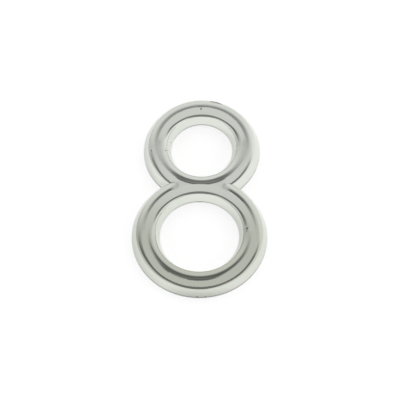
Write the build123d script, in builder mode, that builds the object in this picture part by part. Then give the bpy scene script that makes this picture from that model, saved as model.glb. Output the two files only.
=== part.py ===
"""Self-adhesive house number: a chrome-plated figure 8 with a foam pad set into its back.

The numeral lies on its back. The pad's adhesive face is at Z = 0, the front faces +Z and the head of the
figure points to +Y. The origin is the middle of the back. Sizes are in millimetres, angles in degrees.
"""

import os
from math import atan, atan2, cos, degrees, radians, sin, sqrt, tan

from build123d import *

# Figure, as outlined by its back rim
lower_radius = 18.0  # outside of the lower ring
upper_radius = 15.75  # outside of the upper ring
stroke = 7.5  # width of both rings, and of the waist that they share

# Section through the stroke: straight flanks under a crown that is half of a flat ellipse
flank_angle = 66.0  # rise of the flanks from the back
section_height = 3.3  # back rim to crest
crest_width = 0.2  # level strip along the crest
crown_ratio = 0.4  # height of the crown's ellipse over half its width
crease_slope = 28.0  # slope of the crown at which the crease of a notch runs out into the waist
rim_break = 0.15  # bevel on the edge of the back rim

# Back recess and adhesive pad
rim_width = 1.6  # flat rim around the recess
pad_thickness = 1.5  # foam, with adhesive on both faces
pad_proud = 0.3  # pad standing out past the rim
pad_clearance = 0.25  # gap between the pad's edge and the recess wall

# Rings, each as the place of its centre along Y and its outside radius
ring_pitch = lower_radius + upper_radius - stroke
figure_height = lower_radius + ring_pitch + upper_radius
lower_y = lower_radius - figure_height / 2
upper_y = figure_height / 2 - upper_radius
rings = ((lower_y, lower_radius), (upper_y, upper_radius))
rim_plane = Plane.XY.offset(pad_proud)
recess_depth = pad_thickness - pad_proud


def crown_angle(slope):
    """Angle on the crown's ellipse, from its long axis, of the point where the crown has a slope."""
    return degrees(atan(crown_ratio / tan(radians(slope))))


# Crown, sized so that it runs on smoothly from the flanks and reaches the section's height
flank_end = crown_angle(flank_angle)
flank_gain = tan(radians(flank_angle))
crest_inset = (stroke - crest_width) / 2
crown_drop_share = crown_ratio * (1 - sin(radians(flank_end)))
crown_reach_share = cos(radians(flank_end)) - crown_drop_share / flank_gain
crown_half = (crest_inset - section_height / flank_gain) / crown_reach_share
crown_rise = crown_ratio * crown_half
crown_base = section_height - crown_rise

# Ends of the creases that run up the two notches, where the crowns of both rings have the crease's slope
crease_end = crown_angle(crease_slope)
crease_run = crown_half * cos(radians(crease_end))
lower_reach = lower_radius - crest_inset + crease_run
upper_reach = upper_radius - crest_inset + crease_run
crease_y = lower_y + (lower_reach**2 - upper_reach**2 + ring_pitch**2) / (2 * ring_pitch)
crease_x = sqrt(lower_reach**2 - (crease_y - lower_y) ** 2)


def upright(x, y, along=(1, 0)):
    """Plane that stands on the rim at a place, its X axis in a direction and its Y axis to the front."""
    return Plane((x, y, pad_proud), x_dir=(*along, 0), z_dir=(along[1], -along[0], 0))


def draw_crown(crest, start, size):
    """Draw a piece of the crown's ellipse in the open line, its top at a distance from the plane's origin."""
    return EllipticalCenterArc((crest, crown_base), crown_half, crown_rise, start, arc_size=size)


def draw_figure(inset):
    """Draw the figure in the open sketch, its edges drawn in from the back rim by inset all round."""
    for y, radius in rings:
        with Locations((0, y)):
            Circle(radius - inset)
    for y, radius in rings:
        with Locations((0, y)):
            Circle(radius - stroke + inset, mode=Mode.SUBTRACT)


with BuildPart() as numeral:
    # Waist: level between the crests of the two rings, and rounded off around the end of each crease
    with BuildSketch(rim_plane):
        Polygon((0, lower_y), (crease_x, crease_y), (0, upper_y), (-crease_x, crease_y), align=None)
        for y, radius in rings:
            with Locations((0, y)):
                Circle(radius - crest_inset, mode=Mode.SUBTRACT)
    extrude(amount=section_height)
    for x in (-crease_x, crease_x):
        with BuildSketch(upright(x, crease_y)):
            with BuildLine():
                saddle = draw_crown(crease_run, 180 - crease_end, crease_end - 90)
                over = section_height + crown_rise
                Polyline(saddle @ 1, (crease_run, over), (0, over), saddle @ 0)
            make_face()
        revolve(axis=Axis((x, crease_y, 0), (0, 0, 1)), mode=Mode.SUBTRACT)
    for y, radius in rings:
        crest = radius - crest_inset
        # Ring from its crest to its hole
        with BuildSketch(upright(0, y)):
            with BuildLine():
                inner = draw_crown(crest - crest_width, 90, 90 - flank_end)
                Polyline(inner @ 1, (radius - stroke, 0), (crest, 0), (crest, section_height), inner @ 0)
            make_face()
        revolve(axis=Axis((0, y, 0), (0, 0, 1)))
        # Ring from its crest to its outside, left open at the waist between the ends of the creases
        towards_waist = crease_y - y
        side = crease_x if towards_waist > 0 else -crease_x
        with BuildSketch(upright(0, y, (side, towards_waist))):
            with BuildLine():
                outer = draw_crown(crest, flank_end, 90 - flank_end)
                Polyline(outer @ 1, (crest, 0), (radius, 0), outer @ 0)
            make_face()
        opening = 2 * degrees(atan2(crease_x, abs(towards_waist)))
        revolve(axis=Axis((0, y, 0), (0, 0, -1)), revolution_arc=360 - opening)
    # Back: bevelled rim and the recess for the pad
    back = numeral.faces().sort_by(Axis.Z)[0]
    chamfer(back.edges(), rim_break)
    with BuildSketch(rim_plane):
        draw_figure(rim_width)
    extrude(amount=recess_depth, mode=Mode.SUBTRACT)

# Adhesive pad: die-cut foam that sits on the recess floor and stands a little proud of the rim
with BuildPart() as adhesive_pad:
    with BuildSketch():
        draw_figure(rim_width + pad_clearance)
    extrude(amount=pad_thickness)

os.makedirs("parts", exist_ok=True)
numeral.part.label = "numeral"
export_step(numeral.part, "parts/numeral.step")
adhesive_pad.part.label = "adhesive_pad"
export_step(adhesive_pad.part, "parts/adhesive_pad.step")
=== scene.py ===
"""Looks for a self-adhesive house number, laid out as an add-on and run as a script.

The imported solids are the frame. The plated numeral keeps its solid and gets its finish here, and the foam pad
in its back is modelled anew. Lengths are in metres in the object's own frame: +Y to the head of the figure,
+Z out of its front. Places on a surface are in millimetres.
"""

from functools import reduce
from math import cos, degrees, radians, sin

import bpy
from bpy.props import FloatProperty, FloatVectorProperty, PointerProperty
from bpy.types import Operator, Panel, PropertyGroup
from mathutils import Matrix, Vector


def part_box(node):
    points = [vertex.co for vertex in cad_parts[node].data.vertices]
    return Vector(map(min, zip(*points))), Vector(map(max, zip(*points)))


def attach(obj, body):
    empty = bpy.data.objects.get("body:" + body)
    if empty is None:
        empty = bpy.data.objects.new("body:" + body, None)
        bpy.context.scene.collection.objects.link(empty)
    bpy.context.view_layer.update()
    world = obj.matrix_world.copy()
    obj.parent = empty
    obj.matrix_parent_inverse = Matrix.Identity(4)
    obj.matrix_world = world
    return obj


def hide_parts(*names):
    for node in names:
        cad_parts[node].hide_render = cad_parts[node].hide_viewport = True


bl_info = {
    "name": "Self-adhesive house number",
    "version": (1, 0, 0),
    "blender": (4, 5, 0),
    "location": "View3D > Sidebar > House number",
    "description": "Plated finish, foam pad and studio for a self-adhesive house number",
    "category": "Object",
}

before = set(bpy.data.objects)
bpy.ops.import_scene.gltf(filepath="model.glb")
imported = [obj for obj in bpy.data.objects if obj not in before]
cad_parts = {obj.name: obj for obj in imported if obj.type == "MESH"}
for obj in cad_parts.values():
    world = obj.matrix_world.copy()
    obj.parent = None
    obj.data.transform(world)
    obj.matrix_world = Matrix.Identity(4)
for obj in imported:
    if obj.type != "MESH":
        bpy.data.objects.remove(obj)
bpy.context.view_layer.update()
pad_low, pad_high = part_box("adhesive_pad")

MM = 0.001

# Rings of the figure, each as the place of its centre along Y and the radius of its crest, in millimetres
LOWER_Y, UPPER_Y = -12.0, 14.25
RINGS = ((LOWER_Y, 14.25), (UPPER_Y, 12.0))

# End of the crease in the right notch, in X and Y; the left one is its mirror image
CREASE_END = (6.9, 1.3)

# Shallow sinks at the foot of the rings, each as its ring's centre along Y, the radii between which the
# surface leans, how far it drops towards the hole and how far it is turned to the left, in mm and degrees
SINKS = (
    (LOWER_Y, 13.85, 15.25, 0.106, 10),
    (UPPER_Y, 11.65, 12.45, 0.037, 0),
    (UPPER_Y, 10.6, 11.4, -0.03, 0),
)

# Specks and chips in the plating, each as its place in X, Y and Z and its size, in millimetres. The last two
# are not specks but dots of painted shadow on the foot of the lower ring, along its contact line with the floor
SPECKS_AND_SHADOW_DOTS = (
    (-0.45, 25.6, 3.6, 0.35),
    (-13.6, 12.45, 3.4, 0.25),
    (-9.75, 12.5, 3.2, 0.25),
    (-9.2, 12.95, 2.5, 0.25),
    (-8.4, 16.2, 1.2, 0.25),
    (12.65, -10.9, 3.4, 0.4),
    # Painted shadow: two dark dots on the foot of the lower ring, where it meets the floor
    (-0.2, -29.85, 0.5, 0.35),
    (2.0, -29.8, 0.5, 0.3),
)


class Socket:
    """An output socket that takes part in Python arithmetic by adding nodes to its tree."""

    def __init__(self, tree, output):
        self.tree = tree
        self.output = output

    @staticmethod
    def node(tree, kind, settings, inputs, output=0):
        """Add a node of a kind, set it up, fill or link its inputs, and hand back one of its outputs."""
        made = tree.nodes.new(kind)
        for name, value in settings.items():
            setattr(made, name, value)
        for name, value in inputs.items():
            if isinstance(value, Socket):
                tree.links.new(value.output, made.inputs[name])
            else:
                made.inputs[name].default_value = value
        return Socket(tree, made.outputs[output]) if made.outputs else None

    def math(self, operation, *others):
        """The result of a Math node on this value and others."""
        inputs = dict(enumerate((self, *others)))
        return Socket.node(self.tree, "ShaderNodeMath", {"operation": operation}, inputs)

    def __add__(self, other):
        return self.math("ADD", other)

    def __sub__(self, other):
        return self.math("SUBTRACT", other)

    def __rsub__(self, other):
        return self.math("MULTIPLY_ADD", -1.0, other)

    def __mul__(self, other):
        return self.math("MULTIPLY", other)

    def __truediv__(self, other):
        return self.math("DIVIDE", other)

    def __abs__(self):
        return self.math("ABSOLUTE")

    __radd__ = __add__
    __rmul__ = __mul__

    def rise(self, low, high):
        """0 at low and 1 at high, with a soft step between them."""
        inputs = {"Value": self, "From Min": low, "From Max": high}
        return Socket.node(self.tree, "ShaderNodeMapRange", {"interpolation_type": "SMOOTHSTEP"}, inputs)

    def between(self, low, high, soft):
        """1 between low and high and 0 elsewhere, with a soft step of a width at each limit."""
        return self.rise(low - soft / 2, low + soft / 2) * (1 - self.rise(high - soft / 2, high + soft / 2))

    def toward(self, other, share):
        """This value, moved to another one by a share."""
        return share * (other - self) + self


def split(vector):
    """The X, Y and Z sockets of a vector."""
    return [Socket.node(vector.tree, "ShaderNodeSeparateXYZ", {}, {0: vector}, i) for i in range(3)]


def reach(x, y):
    """Distance of a place from the middle of its plane."""
    return (x * x + y * y).math("SQRT")


def distance_from(place, spot):
    """Distance of a place from a spot, in millimetres."""
    inputs = {0: place, 1: [part * MM for part in spot]}
    return Socket.node(place.tree, "ShaderNodeVectorMath", {"operation": "DISTANCE"}, inputs, "Value") / MM


def highest(values):
    """The highest of several values at each place."""
    return reduce(lambda first, second: first.math("MAXIMUM", second), values)


def blend(share, first, second):
    """One colour moved to another by a share. Each is a colour socket or three numbers."""
    ends = [c if isinstance(c, Socket) else (*c, 1) for c in (first, second)]
    inputs = {0: share, 6: ends[0], 7: ends[1]}
    return Socket.node(share.tree, "ShaderNodeMix", {"data_type": "RGBA"}, inputs, 2)


def new_material(name):
    """An empty node material and its tree."""
    material = bpy.data.materials.new(name)
    material.use_nodes = True
    material.node_tree.nodes.clear()
    return material, material.node_tree


def end_surface(tree, shader):
    """Link a shader to a material's output."""
    Socket.node(tree, "ShaderNodeOutputMaterial", {}, {"Surface": shader})


def deselect_all():
    """Leave edit mode and select nothing."""
    if bpy.context.object and bpy.context.object.mode != "OBJECT":
        bpy.ops.object.mode_set(mode="OBJECT")
    bpy.ops.object.select_all(action="DESELECT")


class PlateSettings(PropertyGroup):
    """Plated finish of the numeral."""

    colour: FloatVectorProperty(
        name="Plate colour",
        description="Colour that the polished plate gives to what it mirrors",
        subtype="COLOR",
        size=3,
        min=0,
        max=1,
        default=(0.745, 0.778, 0.717),
    )
    roughness: FloatProperty(
        name="Roughness",
        description="Blur of the plate's reflections",
        subtype="FACTOR",
        min=0,
        max=1,
        default=0.07,
    )
    # Painted shade: a darker, warmer tint that the plate takes on over the lower ring, standing in for light
    # that falls off towards the foot
    painted_shade_colour: FloatVectorProperty(
        name="Painted shade colour",
        description="Painted shade on the plate of the lower ring",
        subtype="COLOR",
        size=3,
        min=0,
        max=1,
        default=(0.6, 0.617, 0.54),
    )
    # Dark colour of the specks and chips, and of the two dots of painted shadow at the foot
    speck_and_shadow_colour: FloatVectorProperty(
        name="Speck and shadow colour",
        description="Colour of the specks in the plating and of the painted shadow dots",
        subtype="COLOR",
        size=3,
        min=0,
        max=1,
        default=(0.1, 0.1, 0.09),
    )


class PadSettings(PropertyGroup):
    """Foam pad in the back of the numeral."""

    lower_radius: FloatProperty(
        name="Lower radius",
        description="Outside radius of the pad's lower ring",
        subtype="DISTANCE",
        unit="LENGTH",
        default=(pad_high.x - pad_low.x) / 2,
    )
    upper_radius: FloatProperty(
        name="Upper radius",
        description="Outside radius of the pad's upper ring",
        subtype="DISTANCE",
        unit="LENGTH",
        default=13.9 * MM,
    )
    width: FloatProperty(
        name="Width",
        description="Width of both of the pad's rings",
        subtype="DISTANCE",
        unit="LENGTH",
        default=3.8 * MM,
    )
    edge_round: FloatProperty(
        name="Edge round",
        description="Round that the cutting tool leaves on the foam's edges",
        subtype="DISTANCE",
        unit="LENGTH",
        default=0.12 * MM,
    )
    colour: FloatVectorProperty(
        name="Foam colour",
        description="Colour of the foam",
        subtype="COLOR",
        size=3,
        min=0,
        max=1,
        default=(0.83, 0.83, 0.81),
    )


class StageSettings(PropertyGroup):
    """Floor and light of the studio."""

    floor_colour: FloatVectorProperty(
        name="Floor colour",
        description="Colour of the floor",
        subtype="COLOR",
        size=3,
        min=0,
        max=1,
        default=(0.8, 0.8, 0.8),
    )


def sink_height(x, y, sink):
    """Height of the surface over one shallow sink, in millimetres."""
    centre, inside, outside, drop, turned = sink
    radius = reach(x, y - centre)
    foot = ((centre - y) * cos(radians(turned)) - x * sin(radians(turned))) / radius
    return radius.rise(inside, outside) * foot.rise(0.62, 0.96) * drop


def head_dark_mark(x, y, waves):
    """Ragged dark mark on the shoulder of the upper ring, right of the head."""
    ragged = reach(x, y - UPPER_Y) + waves * 0.8 - 0.4
    return ragged.between(14.1, 14.7, 0.3) * x.between(2.2, 5.0, 1.6) * y.rise(20, 24)


def plate_roughness(x, y, settings):
    """Softer polish on the upper ring, most low on both sides of its hole, and at the ends of the creases."""
    outside = reach(x, y - UPPER_Y).rise(11.5, 12.5)
    sides = (1 - outside) * abs(x).rise(4, 9) * (1 - y.rise(13, 17))
    soft = y.rise(0, 12) * (outside * 0.12 + sides * 0.25)
    crease_x, crease_y = CREASE_END
    crease_ends = 1 - reach(abs(x) - crease_x, y - crease_y).rise(0.2, 1.8)
    return soft + crease_ends * 0.25 + settings.roughness


def plate_material(settings):
    """Bright plating: a tinted mirror with slight waves, shallow sinks from moulding, specks, a ragged dark
    mark, two dots of painted shadow at the foot, and painted shade over the lower ring.
    """
    material, tree = new_material("chrome_plate")
    place = Socket.node(tree, "ShaderNodeTexCoord", {}, {}, "Object")
    x, y, z = (part / MM for part in split(place))
    inputs = {"Vector": place, "Scale": 450.0, "Detail": 1.0}
    waves = Socket.node(tree, "ShaderNodeTexNoise", {}, inputs, "Fac")
    # Height of the surface in millimetres, with each speck, and each dot of painted shadow, on a small swelling
    wave_height, swelling = 0.003, 0.06
    height = waves * wave_height
    for sink in SINKS:
        height = height + sink_height(x, y, sink)
    # Dark marks: the ragged mark on the shoulder, the specks and chips, and the two dots of painted shadow at
    # the foot
    marks = [head_dark_mark(x, y, waves)]
    for *spot, size in SPECKS_AND_SHADOW_DOTS:
        distance = distance_from(place, spot)
        marks.append(1 - distance.rise(size * 0.4, size))
        height = height + (1 - distance.rise(0, size * 3)) * size * swelling
    inputs = {"Height": height, "Strength": 1.0, "Distance": MM}
    bump = Socket.node(tree, "ShaderNodeBump", {}, inputs, "Normal")
    # Painted shade: the plate is darker and warmer over the front of the lower ring, where the light falls off
    # towards the foot, with a share of it on the walls
    shade_on_walls = 0.35
    painted_shade = (1 - y.rise(-16, 4)) * (z.rise(2.4, 3.0) * (1 - shade_on_walls) + shade_on_walls)
    plate = blend(painted_shade, settings.colour, settings.painted_shade_colour)
    shader = Socket.node(
        tree,
        "ShaderNodeBsdfPrincipled",
        {},
        {
            "Base Color": blend(highest(marks) * 0.8, plate, settings.speck_and_shadow_colour),
            "Metallic": 1.0,
            "Roughness": plate_roughness(x, y, settings),
            "Normal": bump,
        },
    )
    end_surface(tree, shader)
    return material


def foam_material(settings):
    """White closed-cell foam: fine cells, slightly uneven colour."""
    material, tree = new_material("foam")
    place = Socket.node(tree, "ShaderNodeTexCoord", {}, {}, "Object")
    cells = Socket.node(tree, "ShaderNodeTexVoronoi", {}, {"Vector": place, "Scale": 5000.0}, "Distance")
    inputs = {"Vector": place, "Scale": 400.0, "Detail": 2.0}
    patches = Socket.node(tree, "ShaderNodeTexNoise", {}, inputs, "Fac")
    dark = [0.86 * c for c in settings.colour]
    uneven = (patches * 0.7 + cells * 0.3).rise(0.2, 0.75)
    cell_depth = 0.05 * MM
    inputs = {"Height": cells, "Strength": 0.6, "Distance": cell_depth}
    bump = Socket.node(tree, "ShaderNodeBump", {}, inputs, "Normal")
    shader = Socket.node(
        tree,
        "ShaderNodeBsdfPrincipled",
        {},
        {
            "Base Color": blend(uneven, dark, settings.colour),
            "Roughness": 0.7 + patches * 0.2,
            "Normal": bump,
        },
    )
    end_surface(tree, shader)
    return material


class HOUSENUMBER_OT_numeral(Operator):
    """Give the numeral its bright plating"""

    bl_idname = "house_number.numeral"
    bl_label = "Plated numeral"

    def execute(self, context):
        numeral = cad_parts["numeral"]
        numeral.data.materials.clear()
        numeral.data.materials.append(plate_material(context.scene.house_number_plate))
        return {"FINISHED"}


def add_disc(name, radius, centre_y, low, high):
    """A round slab with its axis along Z, from low to high."""
    deselect_all()
    bpy.ops.mesh.primitive_cylinder_add(
        vertices=180, radius=radius, depth=high - low, location=(0, centre_y, (low + high) / 2)
    )
    disc = bpy.context.object
    disc.name = name
    bpy.ops.object.transform_apply(location=True, rotation=True, scale=True)
    return disc


def apply_modifier(piece, modifier):
    """Make a modifier's result the piece's own mesh."""
    bpy.context.view_layer.objects.active = piece
    bpy.ops.object.modifier_apply(modifier=modifier.name)


def combine(piece, other, operation):
    """Join another slab to the piece or cut it away, and remove the other slab."""
    modifier = piece.modifiers.new("cut", "BOOLEAN")
    modifier.operation = operation
    modifier.solver = "EXACT"
    modifier.object = other
    apply_modifier(piece, modifier)
    bpy.data.objects.remove(other)


def round_edges(piece, width):
    """Round the piece's sharp edges and shade it smooth across the rounds."""
    rounding = piece.modifiers.new("edge_round", "BEVEL")
    rounding.width = width
    rounding.segments = 3
    rounding.limit_method = "ANGLE"
    rounding.angle_limit = radians(40)
    apply_modifier(piece, rounding)
    deselect_all()
    piece.select_set(True)
    bpy.context.view_layer.objects.active = piece
    bpy.ops.object.shade_smooth_by_angle(angle=radians(30))


class HOUSENUMBER_OT_pad(Operator):
    """Model the foam pad that fills the recess in the numeral's back"""

    bl_idname = "house_number.pad"
    bl_label = "Foam pad"

    def execute(self, context):
        pad = context.scene.house_number_pad
        low, high = pad_low.z, pad_high.z
        lower_y = pad_low.y + pad.lower_radius
        upper_y = pad_high.y - pad.upper_radius
        foam = add_disc("foam_pad", pad.lower_radius, lower_y, low, high)
        combine(foam, add_disc("ring", pad.upper_radius, upper_y, low, high), "UNION")
        for centre_y, radius in ((lower_y, pad.lower_radius), (upper_y, pad.upper_radius)):
            hole = add_disc("hole", radius - pad.width, centre_y, low - pad.width, high + pad.width)
            combine(foam, hole, "DIFFERENCE")
        round_edges(foam, pad.edge_round)
        if not foam.data.polygons:
            raise RuntimeError("the foam pad came out empty")
        foam.data.materials.append(foam_material(pad))
        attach(foam, "root")
        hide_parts("adhesive_pad")
        return {"FINISHED"}


def light_studio():
    """Light tent: a bright panel overhead, white walls, and a dark opening on the camera's side."""
    world = bpy.data.worlds.new("studio")
    bpy.context.scene.world = world
    world.use_nodes = True
    tree = world.node_tree
    tree.nodes.clear()
    direction = Socket.node(tree, "ShaderNodeTexCoord", {}, {}, "Generated")
    x, y, z = split(direction)
    # Height over the horizon, and turn from the back of the tent to the right, in degrees
    height = z.math("ARCSINE") * degrees(1)
    turn = x.math("ARCTAN2", y) * degrees(1)
    away = abs(turn)
    # Walls, brighter on the right and dimmer on the left of the back
    left = turn.between(-80, -45, 30) * height.rise(-2, 14)
    walls = turn.between(35, 130, 40) * 0.13 + 0.84 - left * 0.22
    # Dark opening, low on the camera's side and drawn up to a seam under the panel at the back
    sill = 48.5 - away.rise(40, 80) * 7 - left * 4 - away.rise(90, 130) * 6 - away.rise(135, 180) * 26
    depth = 0.25 + (1 - away.rise(10, 27)) * 0.75 + abs(turn - 3).rise(46, 76) * 0.75
    opening = (height - sill).rise(-6, 6) * depth
    dark = 0.15 + away.rise(20, 80) * 0.06 + away.rise(110, 170) * 0.03
    # Panel overhead, an oval with its half sizes and its shift to the back as shares of its height
    half_width, half_length, shift, panel_light = 0.58, 0.56, 0.065, 0.76
    above = z.math("MAXIMUM", 0.01)
    panel = 1 - reach(x / above / half_width, (y / above - shift) / half_length).rise(0.86, 1.1)
    light = walls.toward(dark, opening).toward(panel_light, panel)
    background = Socket.node(tree, "ShaderNodeBackground", {}, {"Color": light, "Strength": 1.0})
    Socket.node(tree, "ShaderNodeOutputWorld", {}, {"Surface": background})


def floor_material(settings):
    """White floor that keeps the shadow of what lies on it, with painted shade on the camera's side and left of
    the walls that only mirrors see, and a painted contact line along the figure's foot.
    """
    material, tree = new_material("floor")
    place = Socket.node(tree, "ShaderNodeTexCoord", {}, {}, "Object")
    x, y = (part / MM for part in split(place)[:2])
    camera_ray, glossy_ray, transmission_ray = (
        Socket.node(tree, "ShaderNodeLightPath", {}, {}, name)
        for name in ("Is Camera Ray", "Is Glossy Ray", "Is Transmission Ray")
    )
    # Painted shade, seen only in mirrors: the floor's glow is dimmed in front of the figure and to the left of
    # every wall, away from the brighter side of the tent
    painted_shades = [1 - reach(x / 14, (y + 30) / 11).rise(0.1, 1.0)]
    covers = []
    for centre, crest in RINGS:
        radius = reach(x, y - centre)
        outward = radius.rise(crest - 0.5, crest + 0.5) * 2 - 1
        lee = (x / radius * outward * -1).rise(0.1, 0.9)
        painted_shades.append(lee * (1 - abs(radius - crest).rise(4, 9)) * 0.45)
        covers.append(radius.between(crest - 3.6, crest + 3.7, 0.2))
    # The floor glows for the camera and for mirrors, but not under the figure. The glow stops a little past the
    # footprint's edge, so a dark contact line of painted shadow runs along the foot, darkened further by the
    # real shadow under the rim
    glow_light = 0.55
    mirrored = glossy_ray.math("MAXIMUM", transmission_ray) * (1 - highest(painted_shades) * 0.6)
    seen = camera_ray.math("MAXIMUM", mirrored) * (1 - highest(covers))
    diffuse = Socket.node(tree, "ShaderNodeBsdfDiffuse", {}, {"Color": (*settings.floor_colour, 1)})
    glow = Socket.node(tree, "ShaderNodeEmission", {}, {"Color": seen * glow_light, "Strength": 1.0})
    shader = Socket.node(tree, "ShaderNodeAddShader", {}, {0: diffuse, 1: glow})
    end_surface(tree, shader)
    return material


def aim_camera():
    """Look at the numeral from its foot, as the photograph does."""
    azimuth, elevation, roll = radians(2.012), radians(61.005), radians(-0.757)
    target = Vector((0, 2.4, 0.3)) * MM
    distance = 540 * MM
    back = Vector((sin(azimuth) * cos(elevation), -cos(azimuth) * cos(elevation), sin(elevation)))
    right = Vector((cos(azimuth), sin(azimuth), 0))
    up = back.cross(right)
    turned_right = right * cos(roll) + up * sin(roll)
    turned_up = up * cos(roll) - right * sin(roll)
    camera = bpy.data.cameras.new("camera")
    viewer = bpy.data.objects.new("camera", camera)
    bpy.context.scene.collection.objects.link(viewer)
    place = Matrix((turned_right, turned_up, back)).transposed().to_4x4()
    place.translation = target + back * distance
    viewer.matrix_world = place
    camera.lens = 180.72
    camera.shift_x = -0.00182
    camera.shift_y = -0.02724
    camera.clip_start = 0.01
    bpy.context.scene.camera = viewer


class HOUSENUMBER_OT_stage(Operator):
    """Set up the floor, the light and the camera"""

    bl_idname = "house_number.stage"
    bl_label = "Studio"

    def execute(self, context):
        deselect_all()
        bpy.ops.mesh.primitive_plane_add(size=6)
        floor = bpy.context.object
        floor.name = "floor"
        floor.data.materials.append(floor_material(context.scene.house_number_stage))
        light_studio()
        aim_camera()
        context.scene.view_settings.view_transform = "Standard"
        return {"FINISHED"}


class HOUSENUMBER_PT_panel(Panel):
    """Pieces and settings of the house number"""

    bl_idname = "HOUSENUMBER_PT_panel"
    bl_label = "House number"
    bl_space_type = "VIEW_3D"
    bl_region_type = "UI"
    bl_category = "House number"

    def draw(self, context):
        scene = context.scene
        for operator, settings in (
            ("house_number.numeral", scene.house_number_plate),
            ("house_number.pad", scene.house_number_pad),
            ("house_number.stage", scene.house_number_stage),
        ):
            column = self.layout.column()
            column.operator(operator)
            for name in settings.__annotations__:
                column.prop(settings, name)


CLASSES = (
    PlateSettings,
    PadSettings,
    StageSettings,
    HOUSENUMBER_OT_numeral,
    HOUSENUMBER_OT_pad,
    HOUSENUMBER_OT_stage,
    HOUSENUMBER_PT_panel,
)


def register():
    for cls in CLASSES:
        bpy.utils.register_class(cls)
    bpy.types.Scene.house_number_plate = PointerProperty(type=PlateSettings)
    bpy.types.Scene.house_number_pad = PointerProperty(type=PadSettings)
    bpy.types.Scene.house_number_stage = PointerProperty(type=StageSettings)


def unregister():
    del bpy.types.Scene.house_number_stage
    del bpy.types.Scene.house_number_pad
    del bpy.types.Scene.house_number_plate
    for cls in reversed(CLASSES):
        bpy.utils.unregister_class(cls)


def main():
    register()
    bpy.ops.house_number.numeral()
    bpy.ops.house_number.pad()
    bpy.ops.house_number.stage()


if __name__ == "__main__":
    main()
